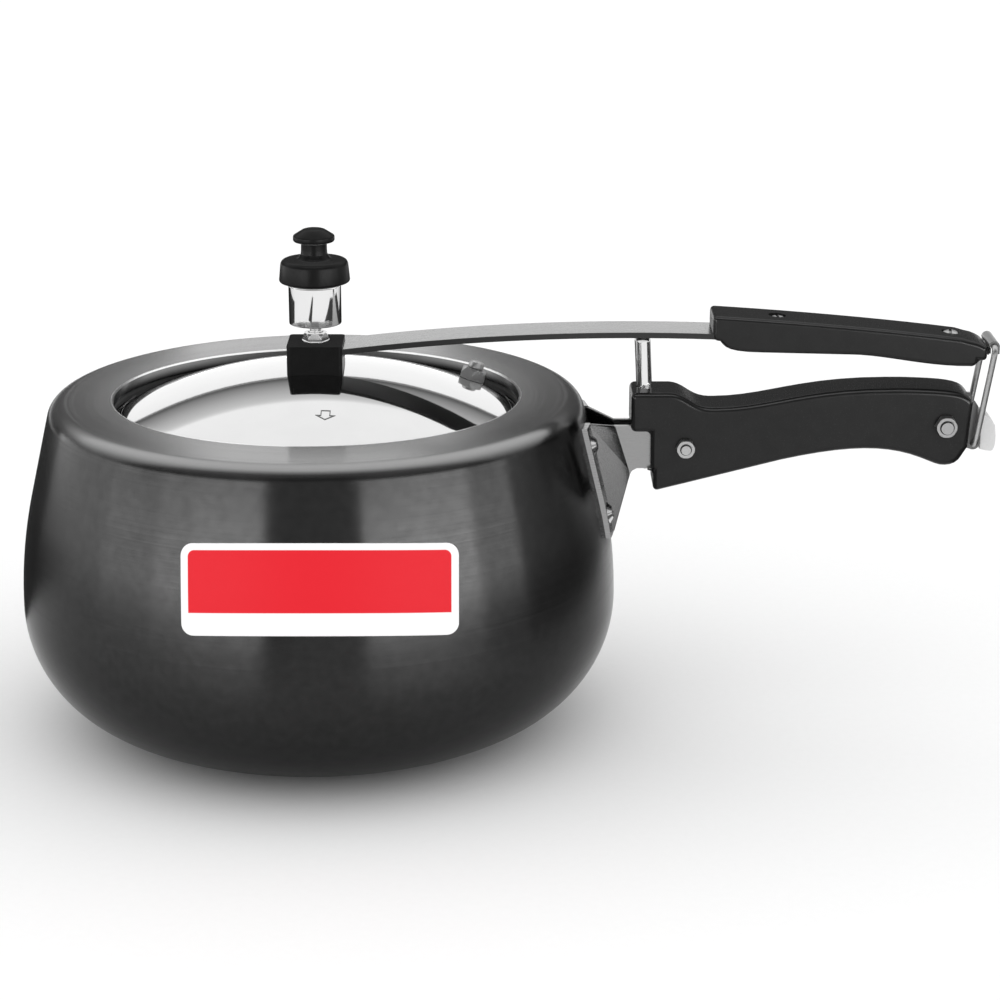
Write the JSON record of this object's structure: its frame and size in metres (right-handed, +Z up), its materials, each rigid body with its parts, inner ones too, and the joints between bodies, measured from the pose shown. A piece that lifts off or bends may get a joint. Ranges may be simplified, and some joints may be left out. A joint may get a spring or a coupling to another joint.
{
  "type": "stovetop pressure cooker",
  "caption": "Bellied stovetop pressure cooker with an inner lid held up by a lever bar, a vent weight, two handles and a wire lock loop.",
  "frame": {"origin": "centre of the flat base, on the surface that the cooker stands on", "axes": "+Z up; +X from the pot towards the handles; the label faces -Y"},
  "size_m": [0.3906, 0.2392, 0.2022],
  "materials": {
    "pot_black": "hard-anodised satin black",
    "steel_bright": "polished stainless steel",
    "steel_satin": "satin rolled sheet",
    "steel_dark": "darkened steel",
    "bakelite": "moulded phenolic, soft sheen",
    "rubber_black": "moulded rubber",
    "rubber_red": "silicone washer",
    "tab_grey": "moulded light grey plastic",
    "label_red": "printed gloss film"
  },
  "bodies": {
    "pot": {"pot_body": "pot_black", "front_label": "label_red", "handle_bracket": "steel_satin", "bracket_rivets": "steel_satin", "fulcrum_post": "steel_bright", "body_handle": "bakelite", "front_bolt": "steel_satin", "front_nut": "steel_satin", "rear_bolt": "steel_satin", "rear_nut": "steel_satin", "loop_bracket": "steel_dark"},
    "loop": {"lock_loop": "steel_satin", "loop_clip": "steel_dark", "loop_tab": "tab_grey"},
    "lid_and_bar": {"lid": "steel_bright", "gasket": "rubber_black", "bridge_block": "bakelite", "vent_tube": "steel_bright", "vent_washer": "rubber_red", "vent_nut": "steel_bright", "handle_bar": "steel_satin", "lid_handle": "bakelite", "lid_handle_screws": "steel_bright", "safety_valve_body": "steel_satin", "safety_plug": "steel_satin", "safety_valve_washer": "rubber_red", "safety_valve_nut": "steel_satin"},
    "weight": {"weight_body": "steel_bright", "weight_needle": "steel_satin", "weight_stud": "steel_satin", "weight_cap": "bakelite"}
  },
  "joints": [
    {"name": "lid_lever", "type": "hinge", "parent": "pot", "child": "lid_and_bar", "pos_m": [0.12985, 0, 0.15696], "axis": [0, -1, 0], "range_deg": [0, 6]},
    {"name": "loop_swing", "type": "hinge", "parent": "pot", "child": "loop", "pos_m": [0.26185, 0, 0.11705], "axis": [0, 1, 0], "range_deg": [0, 75]},
    {"name": "weight_lift", "type": "slide", "parent": "lid_and_bar", "child": "weight", "axis": [0, 0, 1], "range_m": [0, 0.03]}
  ],
  "couplings": [
    {"joint": "loop_swing", "follows": "lid_lever", "ratio": 12.5}
  ]
}
